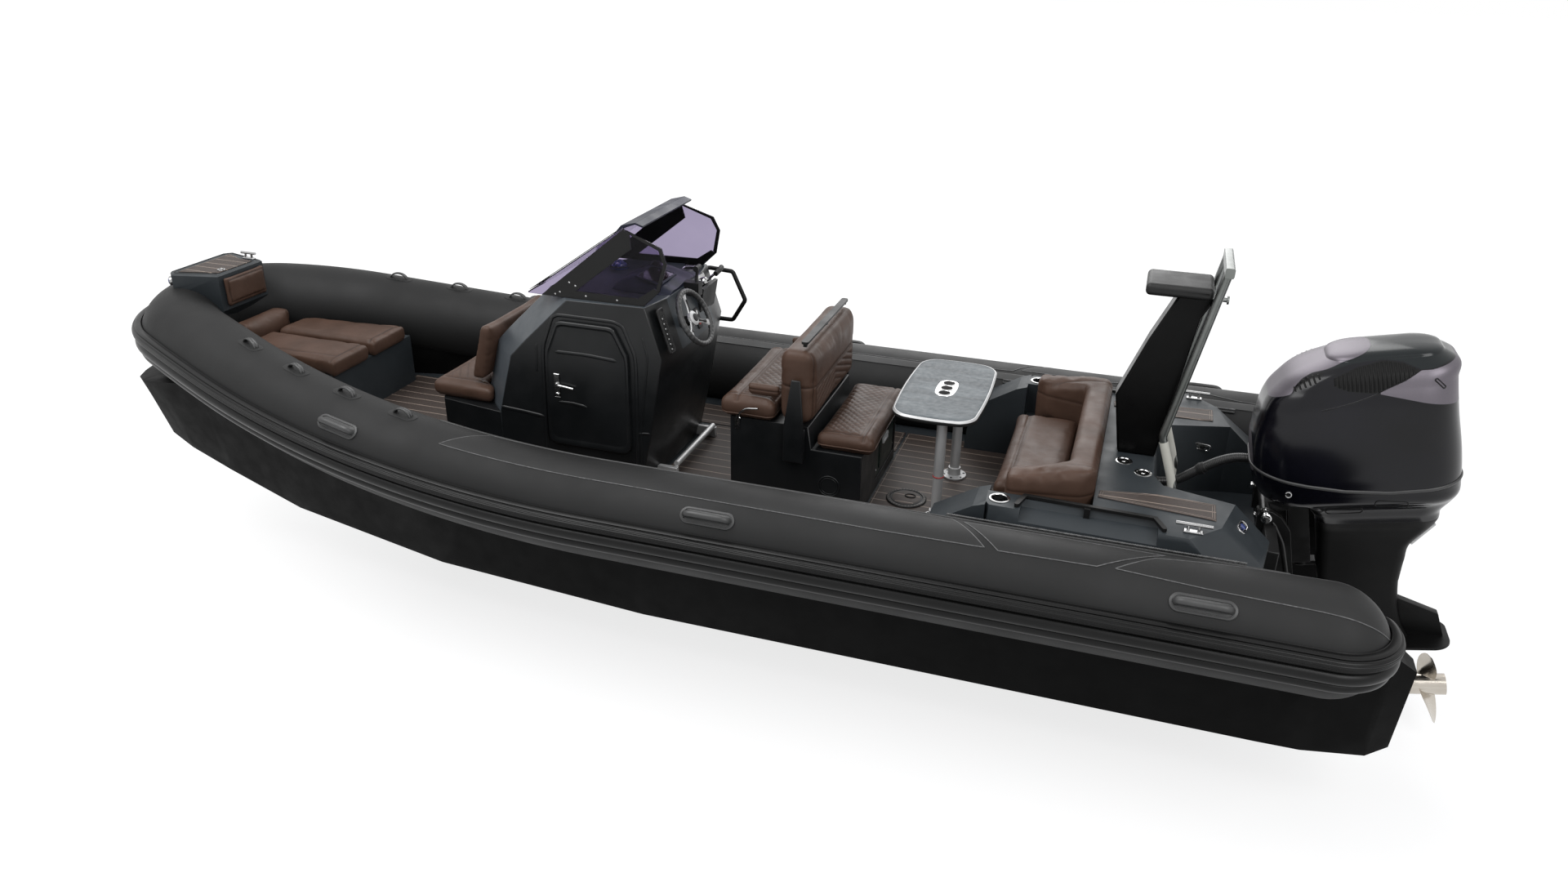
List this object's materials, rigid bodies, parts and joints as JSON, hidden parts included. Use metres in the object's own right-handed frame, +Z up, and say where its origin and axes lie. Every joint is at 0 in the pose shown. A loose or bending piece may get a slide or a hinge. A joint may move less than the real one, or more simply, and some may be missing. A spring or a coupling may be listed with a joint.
{
  "type": "rigid inflatable boat with an outboard engine",
  "caption": "Rigid inflatable boat with a V hull, air tubes, a console with windscreen, helm and bench seats, table, ski pylon, sunpad and an outboard engine that tilts and steers.",
  "frame": {"origin": "on the centreline, on the transom's outer face, at the loaded waterline", "axes": "+X to the bow, +Y to port, +Z up"},
  "size_m": [8.4698, 2.8768, 2.5418],
  "materials": {
    "tube": "coated fabric, matt charcoal",
    "strake": "satin black rubber",
    "hull": "gloss black gelcoat",
    "liner": "satin anthracite gelcoat",
    "planking": "brushed foam planking, dark brown with paler lines",
    "black_plastic": "moulded, fine grain",
    "upholstery": "brown marine vinyl, stitched",
    "stainless": "polished stainless steel",
    "black_rail": "black powder coat",
    "fin_paint": "gloss black",
    "table_wood": "grey-blue veneer under clear coat",
    "aluminium": "anodised",
    "fridge": "dark green-black",
    "windscreen": "smoked violet acrylic",
    "handle_rubber": "moulded rubber",
    "cowl_paint": "deep gloss black",
    "engine_metal": "plain",
    "propeller_steel": "polished stainless steel",
    "bracket_paint": "satin black",
    "hose": "ribbed conduit"
  },
  "bodies": {
    "root": {"tube_port": "tube", "tube_starboard": "tube", "rub_strake_port": "strake", "rub_strake_starboard": "strake", "hull": "hull", "deck_sole": "liner", "deck_planking": "planking", "step_pads": "planking", "deck_hatch": "black_plastic", "stern_moulding": "liner", "transom": "liner", "bench_cushion": "upholstery", "bench_backrest": "upholstery", "coaming_cup_rings": "stainless", "coaming_handrails": "black_rail", "mooring_cleats": "stainless", "pylon_fin": "fin_paint", "pylon_frame": "stainless", "pylon_platform": "black_plastic", "table_top": "table_wood", "table_cup_insert": "stainless", "table_pedestals": "aluminium", "helm_seat_base": "liner", "helm_seat_cushion": "upholstery", "helm_backrest": "upholstery", "helm_armrests": "upholstery", "aft_seat_cushion": "upholstery", "backrest_grab_bar": "black_rail", "fridge_body": "fridge", "console_shell": "liner", "windscreen_panes": "windscreen", "windscreen_visor": "black_plastic", "helm_controls": "black_plastic", "console_rails": "stainless", "front_seat_base": "liner", "front_seat_cushion": "upholstery", "front_seat_backrest": "upholstery", "sunpad_base": "liner", "sunpad_cushion_port": "upholstery", "sunpad_cushion_starboard": "upholstery", "sunpad_roll": "upholstery", "bow_locker": "liner", "bow_back_pad": "upholstery", "nav_light": "stainless", "tube_handles": "handle_rubber", "tube_loops": "handle_rubber", "clamp_bracket": "bracket_paint", "rigging_hose": "hose"},
    "swivel": {"swivel_bracket": "bracket_paint"},
    "outboard": {"engine_midsection": "cowl_paint", "engine_lower_cowl": "cowl_paint", "engine_cowl": "cowl_paint", "engine_block": "engine_metal", "engine_gearcase": "cowl_paint"},
    "propeller": {"propeller": "propeller_steel"},
    "steering_wheel": {"steering_wheel": "black_rail"},
    "console_door": {"console_door": "liner"},
    "fridge_door": {"fridge_door": "fridge"}
  },
  "joints": [
    {"name": "engine_tilt", "type": "hinge", "parent": "root", "child": "swivel", "pos_m": [0.058, 0, 0.768], "axis": [0, 1, 0], "range_deg": [-16.5, 32.5], "deforming": ["rigging_hose"]},
    {"name": "engine_steer", "type": "hinge", "parent": "swivel", "child": "outboard", "pos_m": [-0.108, 0, 0.8048], "axis": [0.2164, 0, 0.9763], "range_deg": [-30, 30], "deforming": ["rigging_hose"]},
    {"name": "propeller_spin", "type": "hinge", "parent": "outboard", "child": "propeller", "pos_m": [-0.9546, 0, -0.1957], "axis": [0.9763, 0, -0.2164], "continuous": true},
    {"name": "steering_wheel_turn", "type": "hinge", "parent": "root", "child": "steering_wheel", "pos_m": [3.3, 0.165, 1.47], "axis": [-0.8829, 0, 0.4695], "range_deg": [-720, 720]},
    {"name": "console_door", "type": "hinge", "parent": "root", "child": "console_door", "pos_m": [3.585, 0.4955, 1.07], "axis": [0, 0, 1], "range_deg": [0, 37]},
    {"name": "fridge_door", "type": "hinge", "parent": "root", "child": "fridge_door", "pos_m": [2.2067, 0.055, 0.69], "axis": [0, 0, -1], "range_deg": [0, 95]}
  ],
  "couplings": [
    {"joint": "steering_wheel_turn", "follows": "engine_steer", "ratio": -24}
  ]
}
